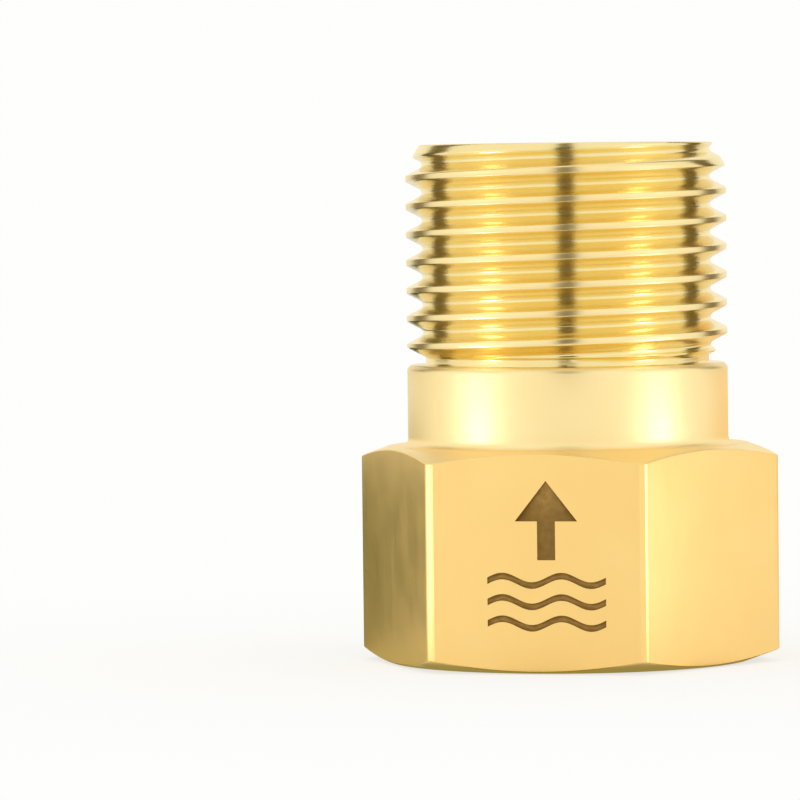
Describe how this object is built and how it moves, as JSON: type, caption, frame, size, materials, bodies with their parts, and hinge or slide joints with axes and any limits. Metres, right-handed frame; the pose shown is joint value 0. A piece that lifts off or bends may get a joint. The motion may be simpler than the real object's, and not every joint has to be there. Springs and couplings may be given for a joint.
{
  "type": "spring check valve",
  "caption": "Brass in-line check valve: hexagonal body with a G 1/2 female inlet, a G 1/2 male outlet and a spring-loaded plastic cartridge inside.",
  "frame": {"origin": "centre of the hexagon's bottom face, which is the inlet end", "axes": "+Z along the flow, from the inlet to the outlet; -Y out of the flat that carries the flow arrow; +X to the right when facing that flat"},
  "size_m": [0.0274, 0.024, 0.0335],
  "materials": {
    "brass": "polished after turning",
    "white_acetal": "moulded, satin",
    "gasket_rubber": "moulded, matt",
    "seal_rubber": "moulded, satin",
    "spring_steel": "drawn stainless wire"
  },
  "bodies": {
    "valve": {"valve_body": "brass", "inlet_gasket": "gasket_rubber", "snap_ring": "spring_steel", "cartridge_housing": "white_acetal", "cartridge_o_ring": "seal_rubber", "cartridge_cage": "white_acetal", "return_spring": "spring_steel"},
    "poppet": {"poppet_stem": "white_acetal", "poppet_seal": "seal_rubber", "poppet_nose": "white_acetal"}
  },
  "joints": [
    {"name": "poppet_lift", "type": "slide", "parent": "valve", "child": "poppet", "axis": [0, 0, 1], "range_m": [0, 0.004], "stiffness_N_per_m": 100, "springref_m": -0.0024, "deforming": ["return_spring"]}
  ]
}
